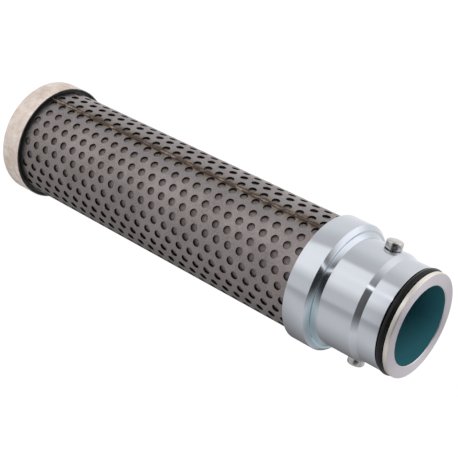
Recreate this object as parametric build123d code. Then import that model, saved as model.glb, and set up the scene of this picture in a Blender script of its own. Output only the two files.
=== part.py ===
from build123d import *
import os
from math import cos, hypot, pi, radians, sin, sqrt

os.makedirs("parts", exist_ok=True)

# Cartridge of a hydraulic filter, in millimetres. It stands on its closed end cap.
# The origin is the centre of the cap's outer face, +Z runs along the axis to the
# open spigot, and +X points through the first bayonet pin.

# Outer tube, rolled from perforated sheet and welded along one seam. Its punched pattern
# is drawn about twice as coarse as the real one, 4 mm holes at 7 mm, and as open.
tube_diameter = 57.0
tube_wall = 1.0
exposed_tube_length = 180.6
hole_pitch = 13.8
hole_side = 7.0
seam_azimuth = 28.8
weld_gap = 1.0
weld_width = 1.6
weld_crown = 0.3

# Woven mesh sleeve behind the perforations
sleeve_thickness = 0.4
sleeve_clearance = 0.1

# Closed end cap, a shallow cup round the tube's end
cap_gap = 1.5
cap_wall = 1.0
cap_height = 12.5
cap_floor = 1.2
cap_corner_break = 1.2

# Resin that bonds the tubes and pleats into both ends
resin_floor = 2.0
cap_resin_recess = 1.5
collar_resin_recess = 1.0

# Pleated filter material between the sleeve and the core
pleat_count = 30
pleat_thickness = 1.2
pleat_clearance = 0.2
pleat_outer_fold = 2.4
pleat_inner_fold = 1.7
clip_wall = 0.4
clip_depth = 3.5
clip_clearance = 0.15

# Core tube, also rolled from perforated sheet. It is a little wider than the outlet bore
# and ends in a counterbore behind it.
core_step = 0.2
core_wall = 1.0
core_clearance = 0.2
core_hole_pitch = 27.0
core_hole_side = 8.0
core_register_depth = 2.0
core_weld_width = 1.3
core_weld_crown = 0.12

# End fitting, turned in one piece: cup and collar, neck, cone and spigot
collar_gap = 1.0
collar_wall = 1.5
collar_length = 13.7
collar_web = 4.0
collar_edge_break = 0.6
neck_diameter = 52.6
neck_length = 19.6
neck_root_break = 1.2
cone_length = 2.8
spigot_diameter = 50.0
spigot_length = 16.0
spigot_end_chamfer = 0.8
bore_diameter = 38.4
bore_mouth_chamfer = 1.0

# Seal near the end of the spigot
seal_section = 3.5
seal_groove_depth = 2.9
seal_groove_width = 3.9
seal_front_land = 2.3
seal_corner = 1.0

# Two pins of the bayonet lock, each a head on a shank that is pressed into the neck
pin_diameter = 8.0
pin_projection = 4.0
pin_head_clearance = 0.2
pin_shank_diameter = 6.0
pin_seat_depth = 5.0
pin_tip_chamfer = 0.8
pin_setback = 5.3
pin_azimuths = {"a": 0.0, "b": 180.0}

# Radii and heights that follow from the sizes above
tube_radius = tube_diameter / 2
sleeve_radius = tube_radius - tube_wall - sleeve_clearance
sleeve_inner_radius = sleeve_radius - sleeve_thickness
cap_cup_radius = tube_radius + cap_gap
cap_radius = cap_cup_radius + cap_wall
collar_cup_radius = tube_radius + collar_gap
collar_radius = collar_cup_radius + collar_wall
neck_radius = neck_diameter / 2
spigot_radius = spigot_diameter / 2
groove_radius = spigot_radius - seal_groove_depth
bore_radius = bore_diameter / 2
core_radius = bore_radius + core_step + core_wall
counterbore_radius = core_radius + core_clearance
pin_head_radius = pin_diameter / 2
pin_shank_radius = pin_shank_diameter / 2

tube_bottom = cap_floor + resin_floor
collar_back = cap_height + exposed_tube_length
collar_front = collar_back + collar_length
web_back = collar_front - collar_web
tube_top = web_back - resin_floor
core_top = web_back + core_register_depth
neck_end = collar_front + neck_length
spigot_start = neck_end + cone_length
spigot_end = spigot_start + spigot_length
groove_front = spigot_end - seal_front_land
groove_back = groove_front - seal_groove_width
pin_height = neck_end - pin_setback


def turned(half_section):
    """Turn a half section, a list of (radius, height) points, about the Z axis."""
    return revolve(Plane.XZ * make_face(Polyline(*half_section, close=True)), Axis.Z)


def ring(inner, outer, bottom, top):
    """Plain ring between two radii and two heights."""
    return turned([(inner, bottom), (outer, bottom), (outer, top), (inner, top)])


def at_angle(solid, azimuth):
    """Turn a solid about the Z axis from +X to an azimuth in degrees."""
    return Rot(Z=azimuth) * solid


def wall_cutter(radius, wall, width, height):
    """Box on +X that passes through a tube's wall, four walls deep to clear the wall's curve."""
    return Pos(X=radius) * Box(4 * wall, width, height)


def staggered_holes(radius, wall, bottom, top, pitch, side, seam):
    """Square punches of a 60 degree staggered pattern, with one row each side of the seam.

    The number of rows is odd, so that the two rows beside the seam are alike. A long row
    leaves at least a quarter of a hole plain at each end.
    """
    end_margin = side / 4
    row_step = pitch * sqrt(3) / 2
    rows = 2 * int((2 * pi * radius / row_step - 1) / 2) + 1
    long_row = int((top - bottom - side - 2 * end_margin) / pitch) + 1
    first = (bottom + top - (long_row - 1) * pitch) / 2
    punch = wall_cutter(radius, wall, side, side)
    punches = []
    for row in range(rows):
        azimuth = seam + (row + 0.5) * 360 / rows
        short = row % 2
        for place in range(long_row - short):
            height = first + (place + short / 2) * pitch
            punches.append(at_angle(Pos(Z=height) * punch, azimuth))
    return punches


def rolled_tube(radius, wall, bottom, top, seam, bead_width, bead_crown, punches):
    """Perforated sheet rolled to a tube, and the weld bead that closes its seam."""
    length = top - bottom
    slit = Pos(Z=(bottom + top) / 2) * wall_cutter(radius, wall, weld_gap, 2 * length)
    root = radius - wall
    rolled = ring(root, radius, bottom, top) - at_angle(slit, seam)
    side = radius - bead_crown / 2
    foot_left = Line((root, -bead_width / 2), (side, -bead_width / 2))
    crown = ThreePointArc((side, -bead_width / 2), (radius + bead_crown, 0), (side, bead_width / 2))
    foot_right = Line((side, bead_width / 2), (root, bead_width / 2))
    base = Line((root, bead_width / 2), (root, -bead_width / 2))
    section = make_face([foot_left, crown, foot_right, base])
    bar = at_angle(Pos(Z=bottom) * extrude(section, length), seam)
    return rolled - punches, bar - rolled


def side_line(points, distance):
    """Line beside an open line of straight runs, on its left where distance is positive."""
    normals = []
    for (x0, y0), (x1, y1) in zip(points, points[1:]):
        length = hypot(x1 - x0, y1 - y0)
        normals.append(((y0 - y1) / length, (x1 - x0) / length))
    moved = []
    for index, (x, y) in enumerate(points):
        ax, ay = normals[max(index - 1, 0)]
        bx, by = normals[min(index, len(normals) - 1)]
        mitre = distance / (1 + ax * bx + ay * by)
        moved.append((x + mitre * (ax + bx), y + mitre * (ay + by)))
    return moved


def folded_strip(points, thickness, bottom, top):
    """Upright strip of a given thickness along an open line of straight runs."""
    outline = side_line(points, thickness / 2) + side_line(points, -thickness / 2)[::-1]
    face = make_face(Polyline(*outline, close=True))
    return Pos(Z=bottom) * extrude(face, top - bottom)


def beside_ray(radius, azimuth, offset):
    """Point at a radius along a ray from the axis, moved sideways from the ray."""
    angle = radians(azimuth)
    return radius * cos(angle) - offset * sin(angle), radius * sin(angle) + offset * cos(angle)


def make_cap():
    """Closed end cap, with its outer corner broken."""
    return turned([
        (0, 0),
        (cap_radius - cap_corner_break, 0),
        (cap_radius, cap_corner_break),
        (cap_radius, cap_height),
        (cap_cup_radius, cap_height),
        (cap_cup_radius, cap_floor),
        (0, cap_floor),
    ])


def make_cap_resin(weld):
    """Resin in the cap: a floor under the tubes and a ring round the outer tube."""
    level = cap_height - cap_resin_recess
    return turned([
        (0, cap_floor),
        (cap_cup_radius, cap_floor),
        (cap_cup_radius, level),
        (tube_radius, level),
        (tube_radius, tube_bottom),
        (0, tube_bottom),
    ]) - weld


def make_collar_resin(weld):
    """Resin in the cup of the end fitting, open in the middle for the core tube."""
    level = collar_back + collar_resin_recess
    return turned([
        (core_radius, web_back),
        (collar_cup_radius, web_back),
        (collar_cup_radius, level),
        (tube_radius, level),
        (tube_radius, tube_top),
        (core_radius, tube_top),
    ]) - weld


def along(start, stop, reach):
    """Point at a distance from start towards stop."""
    share = reach / hypot(stop[0] - start[0], stop[1] - start[1])
    return start[0] + share * (stop[0] - start[0]), start[1] + share * (stop[1] - start[1])


def make_pleats():
    """Pleated sheet round the core, and the clip that joins its two ends at the seam."""
    step = 360 / pleat_count
    root = core_radius + pleat_clearance + pleat_thickness / 2
    tip = sleeve_inner_radius - pleat_clearance - pleat_thickness / 2
    end = tip + pleat_thickness / 2 - clip_wall - clip_clearance
    first = beside_ray(end, seam_azimuth, pleat_thickness / 2)
    last = beside_ray(end, seam_azimuth, -pleat_thickness / 2)
    line = [first]
    for pleat in range(pleat_count):
        fold_in = seam_azimuth + (pleat + 0.5) * step
        fold_out = seam_azimuth + (pleat + 1) * step
        line.append(beside_ray(root, fold_in, -pleat_inner_fold / 2))
        line.append(beside_ray(root, fold_in, pleat_inner_fold / 2))
        if pleat < pleat_count - 1:
            line.append(beside_ray(tip, fold_out, -pleat_outer_fold / 2))
            line.append(beside_ray(tip, fold_out, pleat_outer_fold / 2))
    line.append(last)
    sheet = folded_strip(line, pleat_thickness, tube_bottom, tube_top)
    shoulder = pleat_thickness / 2 - clip_clearance
    legs = [along(last, line[-2], clip_depth), along(last, line[-2], shoulder),
            along(first, line[1], shoulder), along(first, line[1], clip_depth)]
    outside = -(pleat_thickness + clip_wall) / 2
    clip = folded_strip(side_line(legs, outside), clip_wall, tube_bottom, tube_top)
    return sheet - clip, clip


def make_fitting():
    """End fitting with the cup, collar, neck, cone, spigot, seal groove and bore."""
    half_section = [
        (bore_radius, core_top),
        (counterbore_radius, core_top),
        (counterbore_radius, web_back),
        (collar_cup_radius, web_back),
        (collar_cup_radius, collar_back),
        (collar_radius, collar_back),
        (collar_radius, collar_front - collar_edge_break),
        (collar_radius - collar_edge_break, collar_front),
        (neck_radius + neck_root_break, collar_front),
        (neck_radius, collar_front + neck_root_break),
        (neck_radius, neck_end),
        (spigot_radius, spigot_start),
        (spigot_radius, groove_back),
        (groove_radius, groove_back),
        (groove_radius, groove_front),
        (spigot_radius, groove_front),
        (spigot_radius, spigot_end - spigot_end_chamfer),
        (spigot_radius - spigot_end_chamfer, spigot_end),
        (bore_radius + bore_mouth_chamfer, spigot_end),
        (bore_radius, spigot_end - bore_mouth_chamfer),
    ]
    seat = [(0, -pin_seat_depth), (pin_shank_radius, -pin_seat_depth), (pin_shank_radius, pin_projection),
            (0, pin_projection)]
    return turned(half_section) - [on_neck(seat, azimuth) for azimuth in pin_azimuths.values()]


def on_neck(half_section, azimuth):
    """Turn a half section about a radial axis at the pins' height, with zero at the neck's surface."""
    return at_angle(Pos(X=neck_radius, Z=pin_height) * Rot(Y=90) * turned(half_section), azimuth)


def make_pin(azimuth):
    """Bayonet pin with a shank and a chamfered head."""
    return on_neck([
        (0, -pin_seat_depth),
        (pin_shank_radius, -pin_seat_depth),
        (pin_shank_radius, pin_head_clearance),
        (pin_head_radius, pin_head_clearance),
        (pin_head_radius, pin_projection - pin_tip_chamfer),
        (pin_head_radius - pin_tip_chamfer, pin_projection),
        (0, pin_projection),
    ], azimuth)


def make_seal():
    """Ring seal on the groove's floor, with its crown drawn as three flats."""
    outer = groove_radius + seal_section
    bottom = (groove_back + groove_front - seal_section) / 2
    top = bottom + seal_section
    return turned([
        (groove_radius, bottom),
        (outer - seal_corner, bottom),
        (outer, bottom + seal_corner),
        (outer, top - seal_corner),
        (outer - seal_corner, top),
        (groove_radius, top),
    ])


def save(solid, name):
    """Write one piece of the cartridge to its own file."""
    solid.label = name
    export_step(solid, f"parts/{name}.step")
    print(name, round(solid.volume, 1))


tube_punches = staggered_holes(tube_radius, tube_wall, cap_height, collar_back,
                               hole_pitch, hole_side, seam_azimuth)
tube, tube_weld = rolled_tube(tube_radius, tube_wall, tube_bottom, tube_top, seam_azimuth,
                              weld_width, weld_crown, tube_punches)
core_punches = staggered_holes(core_radius, core_wall, cap_height, collar_back,
                               core_hole_pitch, core_hole_side, seam_azimuth)
core, core_weld = rolled_tube(core_radius, core_wall, tube_bottom, core_top, seam_azimuth,
                              core_weld_width, core_weld_crown, core_punches)
pleats, clip = make_pleats()

save(make_cap(), "closed_end_cap")
save(make_cap_resin(tube_weld), "closed_end_resin")
save(tube, "perforated_tube")
save(tube_weld, "tube_seam_weld")
save(ring(sleeve_inner_radius, sleeve_radius, tube_bottom, tube_top), "mesh_sleeve")
save(pleats, "pleated_media")
save(clip, "pleat_clip")
save(core, "core_tube")
save(core_weld, "core_seam_weld")
save(make_collar_resin(tube_weld) - core_weld, "open_end_resin")
save(make_fitting(), "end_fitting")
save(make_seal(), "spigot_o_ring")
for letter, azimuth in pin_azimuths.items():
    save(make_pin(azimuth), f"bayonet_pin_{letter}")
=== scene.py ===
import math
import bmesh
import bpy
from bpy.props import (FloatProperty, FloatVectorProperty, IntProperty, PointerProperty)
from mathutils import Matrix, Vector, noise


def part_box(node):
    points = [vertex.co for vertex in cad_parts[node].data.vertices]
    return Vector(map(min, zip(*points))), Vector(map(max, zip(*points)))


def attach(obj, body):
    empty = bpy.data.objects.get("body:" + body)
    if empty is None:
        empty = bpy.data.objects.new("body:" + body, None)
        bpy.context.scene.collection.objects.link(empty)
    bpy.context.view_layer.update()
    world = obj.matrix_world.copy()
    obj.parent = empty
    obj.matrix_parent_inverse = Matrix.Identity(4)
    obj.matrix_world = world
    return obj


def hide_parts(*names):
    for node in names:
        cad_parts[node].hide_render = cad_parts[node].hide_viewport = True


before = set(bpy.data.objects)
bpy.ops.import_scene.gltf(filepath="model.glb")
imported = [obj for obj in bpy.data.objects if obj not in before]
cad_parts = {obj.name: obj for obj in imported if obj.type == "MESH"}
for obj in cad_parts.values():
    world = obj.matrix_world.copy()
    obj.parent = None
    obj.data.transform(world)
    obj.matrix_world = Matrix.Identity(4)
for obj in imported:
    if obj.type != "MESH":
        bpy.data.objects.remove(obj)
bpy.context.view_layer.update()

bl_info = {
    "name": "Hydraulic Filter Element",
    "version": (1, 0, 0),
    "blender": (4, 5, 0),
    "location": "View3D > Sidebar > Filter",
    "description": "Dresses the hydraulic filter element: perforated tube, end fitting, seal and cap",
    "category": "Object",
}

MM = 0.001

# Radii and heights of the solids, in metres, read from their boxes
CAP_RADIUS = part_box("closed_end_cap")[1].x
CAP_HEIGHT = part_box("closed_end_cap")[1].z
TUBE_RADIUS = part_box("perforated_tube")[1].y
TUBE_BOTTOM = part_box("perforated_tube")[0].z
TUBE_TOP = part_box("perforated_tube")[1].z
SLEEVE_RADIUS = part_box("mesh_sleeve")[1].y
CORE_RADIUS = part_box("core_tube")[1].y
CORE_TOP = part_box("core_tube")[1].z
COLLAR_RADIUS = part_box("end_fitting")[1].y
COLLAR_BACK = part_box("end_fitting")[0].z
SPIGOT_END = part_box("end_fitting")[1].z
SEAL_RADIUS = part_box("spigot_o_ring")[1].y
SEAL_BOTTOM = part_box("spigot_o_ring")[0].z
SEAL_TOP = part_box("spigot_o_ring")[1].z
RESIN_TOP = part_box("closed_end_resin")[1].z
COLLAR_RESIN_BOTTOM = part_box("open_end_resin")[0].z
PIN_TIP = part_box("bayonet_pin_a")[1].x
PIN_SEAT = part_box("bayonet_pin_a")[0].x
PIN_HEIGHT = (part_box("bayonet_pin_a")[0].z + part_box("bayonet_pin_a")[1].z) / 2
PIN_RADIUS = (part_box("bayonet_pin_a")[1].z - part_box("bayonet_pin_a")[0].z) / 2


class FilterSizes(bpy.types.PropertyGroup):
    """Sizes of the element's pieces that the solids don't state."""
    wall: FloatProperty(name="Sheet wall", description="Thickness of the perforated sheets",
                        default=1.0 * MM, unit="LENGTH")
    hole_pitch: FloatProperty(name="Hole pitch", description="Distance between holes along a row",
                              default=7.0 * MM, unit="LENGTH")
    hole_diameter: FloatProperty(name="Hole diameter", description="Diameter of the punched holes",
                                 default=4.0 * MM, unit="LENGTH")
    hole_rows: IntProperty(name="Hole rows", description="Rows of holes round the outer tube", default=29)
    holes_per_row: IntProperty(name="Holes per row", description="Holes in each long row", default=26)
    first_hole: FloatProperty(name="First hole", description="Height of the first hole above the cap's rim",
                              default=3.2 * MM, unit="LENGTH")
    core_hole_pitch: FloatProperty(name="Core hole pitch", description="Distance between the core's holes",
                                   default=12.0 * MM, unit="LENGTH")
    core_hole_diameter: FloatProperty(name="Core hole diameter", description="Diameter of the core's holes",
                                      default=6.0 * MM, unit="LENGTH")
    core_hole_rows: IntProperty(name="Core hole rows", description="Rows of holes round the core", default=11)
    core_holes_per_row: IntProperty(name="Core holes per row", description="Holes in each long core row",
                                    default=15)
    seam_azimuth: FloatProperty(name="Seam azimuth", description="Direction of the weld seam from the first pin",
                                default=math.radians(28.8), subtype="ANGLE")
    weld_width: FloatProperty(name="Weld width", description="Width of the tube's weld bead",
                              default=1.3 * MM, unit="LENGTH")
    cap_wall: FloatProperty(name="Cap wall", description="Thickness of the cap's rim",
                            default=1.0 * MM, unit="LENGTH")
    cap_floor: FloatProperty(name="Cap floor", description="Thickness of the cap's flat end",
                             default=1.2 * MM, unit="LENGTH")
    cap_corner: FloatProperty(name="Cap corner", description="Radius of the cap's outer corner",
                              default=1.4 * MM, unit="LENGTH")
    collar_wall: FloatProperty(name="Collar wall", description="Thickness of the collar's cup",
                               default=1.5 * MM, unit="LENGTH")
    collar_length: FloatProperty(name="Collar length", description="Length of the collar",
                                 default=13.7 * MM, unit="LENGTH")
    collar_web: FloatProperty(name="Collar web", description="Thickness of the web behind the neck",
                              default=4.0 * MM, unit="LENGTH")
    collar_chamfer: FloatProperty(name="Collar chamfer", description="Chamfer on the collar's front edge",
                                  default=1.8 * MM, unit="LENGTH")
    neck_radius: FloatProperty(name="Neck radius", description="Radius of the neck",
                               default=26.3 * MM, unit="LENGTH")
    neck_length: FloatProperty(name="Neck length", description="Length of the neck",
                               default=19.6 * MM, unit="LENGTH")
    neck_root: FloatProperty(name="Neck root", description="Slope between the collar's face and the neck",
                             default=1.7 * MM, unit="LENGTH")
    cone_length: FloatProperty(name="Cone length", description="Length of the cone from neck to spigot",
                               default=2.8 * MM, unit="LENGTH")
    spigot_radius: FloatProperty(name="Spigot radius", description="Radius of the spigot",
                                 default=25.0 * MM, unit="LENGTH")
    spigot_edge: FloatProperty(name="Spigot edge", description="Radius of the spigot's front edge",
                               default=0.5 * MM, unit="LENGTH")
    bore_radius: FloatProperty(name="Bore radius", description="Radius of the outlet bore",
                               default=19.2 * MM, unit="LENGTH")
    bore_chamfer: FloatProperty(name="Bore chamfer", description="Chamfer at the bore's mouth",
                                default=0.35 * MM, unit="LENGTH")
    seal_section: FloatProperty(name="Seal section", description="Diameter of the O-ring's section",
                                default=3.5 * MM, unit="LENGTH")
    groove_width: FloatProperty(name="Groove width", description="Width of the seal groove",
                                default=3.9 * MM, unit="LENGTH")
    groove_land: FloatProperty(name="Front land", description="Width of the land in front of the seal groove",
                               default=2.3 * MM, unit="LENGTH")
    groove_depth: FloatProperty(name="Groove depth", description="Depth of the seal groove",
                                default=2.9 * MM, unit="LENGTH")
    pin_shank: FloatProperty(name="Pin shank", description="Radius of a pin's shank",
                             default=3.0 * MM, unit="LENGTH")
    pin_gap: FloatProperty(name="Pin gap", description="Gap between a pin's head and the neck",
                           default=0.2 * MM, unit="LENGTH")
    pin_edge: FloatProperty(name="Pin edge", description="Radius of the rounded edge on a pin's head",
                            default=1.1 * MM, unit="LENGTH")


class FilterColours(bpy.types.PropertyGroup):
    """Colours of the element's finishes."""
    tube: FloatVectorProperty(name="Tube steel", description="Satin sheet steel", subtype="COLOR",
                              default=(0.232, 0.206, 0.209))
    mesh: FloatVectorProperty(name="Woven mesh", description="Wire cloth behind the holes", subtype="COLOR",
                              default=(0.20, 0.172, 0.168))
    cap: FloatVectorProperty(name="Cap nickel", description="Pale nickel plate", subtype="COLOR",
                             default=(0.70, 0.645, 0.605))
    zinc: FloatVectorProperty(name="Zinc plate", description="Bright blue-white zinc plate", subtype="COLOR",
                              default=(0.62, 0.65, 0.71))
    bore: FloatVectorProperty(name="Bore tint", description="Teal passivation inside the bore",
                              subtype="COLOR", default=(0.075, 0.30, 0.37))
    rubber: FloatVectorProperty(name="Seal rubber", description="Black nitrile rubber", subtype="COLOR",
                                default=(0.003, 0.003, 0.0035))
    resin: FloatVectorProperty(name="Potting resin", description="Dark cast resin", subtype="COLOR",
                               default=(0.022, 0.022, 0.022))
    media: FloatVectorProperty(name="Filter media", description="Pleated glass fibre", subtype="COLOR",
                               default=(0.70, 0.68, 0.62))
    weld: FloatVectorProperty(name="Weld bead", description="Heat-tinted weld metal", subtype="COLOR",
                              default=(0.10, 0.066, 0.052))


class NodeTree:
    """Small helper that adds and links nodes in one tree."""

    def __init__(self, tree):
        self.tree = tree

    def add(self, kind, inputs=None, **settings):
        node = self.tree.nodes.new(kind)
        for name, value in settings.items():
            setattr(node, name, value)
        for name, value in (inputs or {}).items():
            self.feed(node.inputs[name], value)
        return node

    def feed(self, socket, value):
        if isinstance(value, bpy.types.NodeSocket):
            self.tree.links.new(value, socket)
        else:
            socket.default_value = value

    def math(self, operation, first, second=0.0, third=0.0, clamp=False):
        node = self.add("ShaderNodeMath", {0: first, 1: second, 2: third}, operation=operation)
        node.use_clamp = clamp
        return node.outputs[0]

    def spread(self, value, low, high, new_low=0.0, new_high=1.0):
        node = self.add("ShaderNodeMapRange", {"Value": value, "From Min": low, "From Max": high,
                                               "To Min": new_low, "To Max": new_high})
        return node.outputs["Result"]

    def mix(self, share, first, second, mode="MIX"):
        node = self.add("ShaderNodeMix", data_type="RGBA", blend_type=mode)
        self.feed(node.inputs["Factor"], share)
        self.feed(node.inputs["A"], first)
        self.feed(node.inputs["B"], second)
        return node.outputs["Result"]


def rgba(colour):
    return tuple(colour) + (1.0,)


def new_group(name, inputs, outputs):
    """Empty shader node group with named sockets: (name, socket type, default)."""
    group = bpy.data.node_groups.new(name, "ShaderNodeTree")
    for label, kind, default in inputs:
        socket = group.interface.new_socket(label, in_out="INPUT", socket_type=kind)
        socket.default_value = default
    for label, kind in outputs:
        group.interface.new_socket(label, in_out="OUTPUT", socket_type=kind)
    tree = NodeTree(group)
    return tree, tree.add("NodeGroupInput"), tree.add("NodeGroupOutput")


def grain_group():
    """Cloudy smudges and fine grain that vary a finish: two masks from 0 to 1."""
    tree, given, made = new_group(
        "Smudge and Grain",
        [("Smudge Scale", "NodeSocketFloat", 60.0), ("Grain Scale", "NodeSocketFloat", 1500.0)],
        [("Smudge", "NodeSocketFloat"), ("Grain", "NodeSocketFloat")])
    place = tree.add("ShaderNodeTexCoord").outputs["Object"]
    smudge = tree.add("ShaderNodeTexNoise", {"Vector": place, "Scale": given.outputs["Smudge Scale"],
                                             "Detail": 4.0, "Roughness": 0.6})
    grain = tree.add("ShaderNodeTexNoise", {"Vector": place, "Scale": given.outputs["Grain Scale"],
                                            "Detail": 2.0, "Roughness": 0.5})
    tree.feed(made.inputs["Smudge"], tree.spread(smudge.outputs["Fac"], 0.35, 0.65))
    tree.feed(made.inputs["Grain"], tree.spread(grain.outputs["Fac"], 0.3, 0.7))
    return tree.tree


def turning_group():
    """Fine rings that a lathe leaves: a height that changes along the axis and the radius."""
    tree, given, made = new_group(
        "Turning Rings",
        [("Ring Scale", "NodeSocketFloat", 3000.0)],
        [("Height", "NodeSocketFloat")])
    place = tree.add("ShaderNodeTexCoord").outputs["Object"]
    parts = tree.add("ShaderNodeSeparateXYZ", {"Vector": place})
    flat = tree.add("ShaderNodeCombineXYZ", {"X": parts.outputs["X"], "Y": parts.outputs["Y"]})
    radius = tree.add("ShaderNodeVectorMath", {0: flat.outputs[0]}, operation="LENGTH").outputs["Value"]
    along = tree.add("ShaderNodeCombineXYZ", {"X": radius, "Y": parts.outputs["Z"]})
    rings = tree.add("ShaderNodeTexNoise", {"Vector": along.outputs[0], "Scale": given.outputs["Ring Scale"],
                                            "Detail": 1.0})
    tree.feed(made.inputs["Height"], rings.outputs["Fac"])
    return tree.tree


def new_material(name):
    """Material with its node tree helper, Principled shader and output."""
    material = bpy.data.materials.new(name)
    material.use_nodes = True
    tree = NodeTree(material.node_tree)
    shader = material.node_tree.nodes["Principled BSDF"]
    return material, tree, shader


def shared(tree, group, **values):
    """Place a shader node group in a material, with its own values."""
    node = tree.add("ShaderNodeGroup", node_tree=bpy.data.node_groups[group])
    for name, value in values.items():
        node.inputs[name.replace("_", " ")].default_value = value
    return node


def bump(tree, height, strength, distance):
    return tree.add("ShaderNodeBump", {"Height": height, "Strength": strength,
                                       "Distance": distance}).outputs["Normal"]


def seam_distance(tree, azimuth, radius):
    """Distance from the seam along the tube's surface, and height, both in metres."""
    place = tree.add("ShaderNodeTexCoord").outputs["Object"]
    turned = tree.add("ShaderNodeVectorRotate", {"Vector": place, "Angle": -azimuth}, rotation_type="Z_AXIS")
    parts = tree.add("ShaderNodeSeparateXYZ", {"Vector": turned.outputs[0]})
    angle = tree.math("ARCTAN2", parts.outputs["Y"], parts.outputs["X"])
    return tree.math("MULTIPLY", angle, radius), parts.outputs["Z"]


def tube_material(sizes, colours):
    """Satin steel, mottled and heat tinted by the seam; painted crevice shade at the bead, resin smear and painted
    shadow at the cap.
    """
    material, tree, shader = new_material("satin_tube_steel")
    marks = shared(tree, "Smudge and Grain", Smudge_Scale=55.0, Grain_Scale=1300.0)
    blots = shared(tree, "Smudge and Grain", Smudge_Scale=210.0, Grain_Scale=600.0)
    smudge, grain = marks.outputs["Smudge"], marks.outputs["Grain"]
    across, height = seam_distance(tree, sizes.seam_azimuth, TUBE_RADIUS)
    base = tree.mix(smudge, rgba([c * 1.12 for c in colours.tube]), rgba([c * 0.86 for c in colours.tube]))
    base = tree.mix(tree.math("MULTIPLY", blots.outputs["Smudge"], 0.3), base, (0.17, 0.135, 0.13, 1.0))
    base = tree.mix(tree.math("MULTIPLY", grain, 0.55), base, (0.36, 0.32, 0.31, 1.0))
    wander = tree.math("MULTIPLY", tree.math("SUBTRACT", blots.outputs["Smudge"], 0.5), 2.6 * MM)
    from_seam = tree.math("ADD", tree.math("ABSOLUTE", across), wander)
    blue = tree.spread(from_seam, 8.0 * MM, 5.0 * MM)
    base = tree.mix(tree.math("MULTIPLY", blue, 0.22), base, (0.21, 0.235, 0.27, 1.0))
    straw = tree.spread(from_seam, 4.6 * MM, 2.2 * MM)
    base = tree.mix(tree.math("MULTIPLY", straw, 0.6), base, (0.19, 0.145, 0.08, 1.0))
    brown = tree.spread(from_seam, 2.2 * MM, 0.9 * MM)
    base = tree.mix(tree.math("MULTIPLY", brown, 0.8), base, (0.075, 0.047, 0.038, 1.0))
    # Dark lines along the bead's edges: painted shade in the crevices where the bead meets the sheet.
    painted_crevice_shade = tree.spread(tree.math("ABSOLUTE", across), 1.35 * MM, 0.85 * MM)
    base = tree.mix(tree.math("MULTIPLY", painted_crevice_shade, 0.85), base, (0.02, 0.014, 0.012, 1.0))
    # Dark band just above the cap's rim: partly resin smeared on the tube, partly painted contact shadow of the
    # rim.
    rim = tree.math("SUBTRACT", height, CAP_HEIGHT)
    resin_and_shadow_band = tree.spread(tree.math("ADD", rim, wander), 4.6 * MM, 0.8 * MM)
    base = tree.mix(tree.math("MULTIPLY", resin_and_shadow_band, 0.9), base, (0.035, 0.038, 0.038, 1.0))
    tree.feed(shader.inputs["Base Color"], base)
    tree.feed(shader.inputs["Roughness"], tree.spread(smudge, 0.0, 1.0, 0.36, 0.5))
    shader.inputs["Metallic"].default_value = 0.85
    tree.feed(shader.inputs["Normal"], bump(tree, grain, 0.3, 0.03 * MM))
    return material


def punched_wall_shade_material():
    """Sheared steel walls of the punched holes, painted near-black as the shade inside the holes."""
    material, tree, shader = new_material("punched_wall_painted_shade")
    marks = shared(tree, "Smudge and Grain", Smudge_Scale=150.0, Grain_Scale=1800.0)
    # Near-black base: painted shade inside the holes.
    base = tree.mix(marks.outputs["Smudge"], (0.007, 0.005, 0.005, 1.0), (0.016, 0.012, 0.011, 1.0))
    tree.feed(shader.inputs["Base Color"], base)
    shader.inputs["Roughness"].default_value = 0.6
    shader.inputs["Specular IOR Level"].default_value = 0.2
    tree.feed(shader.inputs["Normal"], bump(tree, marks.outputs["Grain"], 0.3, 0.05 * MM))
    return material


def mesh_material(colours):
    """Woven wire cloth: two crossed sets of wires on the sleeve's unrolled surface."""
    material, tree, shader = new_material("woven_wire_cloth")
    wire_step = 0.42 * MM
    across, height = seam_distance(tree, 0.0, SLEEVE_RADIUS)
    weft = tree.math("SINE", tree.math("MULTIPLY", across, 2 * math.pi / wire_step))
    warp = tree.math("SINE", tree.math("MULTIPLY", height, 2 * math.pi / wire_step))
    weave = tree.math("MULTIPLY", weft, warp)
    # Raised wire crossings painted lighter and the dips darker: painted shading of the weave's relief.
    weave_painted_shading = tree.spread(weave, -1.0, 1.0)
    marks = shared(tree, "Smudge and Grain", Smudge_Scale=90.0, Grain_Scale=2200.0)
    base = tree.mix(tree.math("MULTIPLY", weave_painted_shading, 0.5), rgba(colours.mesh),
                    rgba([c * 1.7 for c in colours.mesh]))
    base = tree.mix(tree.math("MULTIPLY", marks.outputs["Smudge"], 0.4), base, (0.09, 0.075, 0.07, 1.0))
    tree.feed(shader.inputs["Base Color"], base)
    shader.inputs["Roughness"].default_value = 0.55
    shader.inputs["Metallic"].default_value = 0.5
    tree.feed(shader.inputs["Normal"], bump(tree, weave, 0.5, 0.06 * MM))
    return material


def cap_material(colours):
    """Pale satin nickel with brownish smudges, streaks and fine specks."""
    material, tree, shader = new_material("pale_nickel_cap")
    marks = shared(tree, "Smudge and Grain", Smudge_Scale=75.0, Grain_Scale=900.0)
    specks = shared(tree, "Smudge and Grain", Smudge_Scale=260.0, Grain_Scale=2400.0)
    smudge, grain = marks.outputs["Smudge"], marks.outputs["Grain"]
    base = tree.mix(tree.math("MULTIPLY", smudge, 0.75), rgba(colours.cap), (0.46, 0.355, 0.30, 1.0))
    base = tree.mix(tree.math("MULTIPLY", grain, 0.3), base, (0.45, 0.37, 0.32, 1.0))
    speck = tree.spread(specks.outputs["Smudge"], 0.35, 1.0)
    base = tree.mix(tree.math("MULTIPLY", speck, 0.4), base, (0.36, 0.27, 0.21, 1.0))
    tree.feed(shader.inputs["Base Color"], base)
    tree.feed(shader.inputs["Roughness"], tree.spread(grain, 0.0, 1.0, 0.34, 0.5))
    shader.inputs["Metallic"].default_value = 0.35
    tree.feed(shader.inputs["Normal"], bump(tree, grain, 0.15, 0.03 * MM))
    return material


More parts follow.
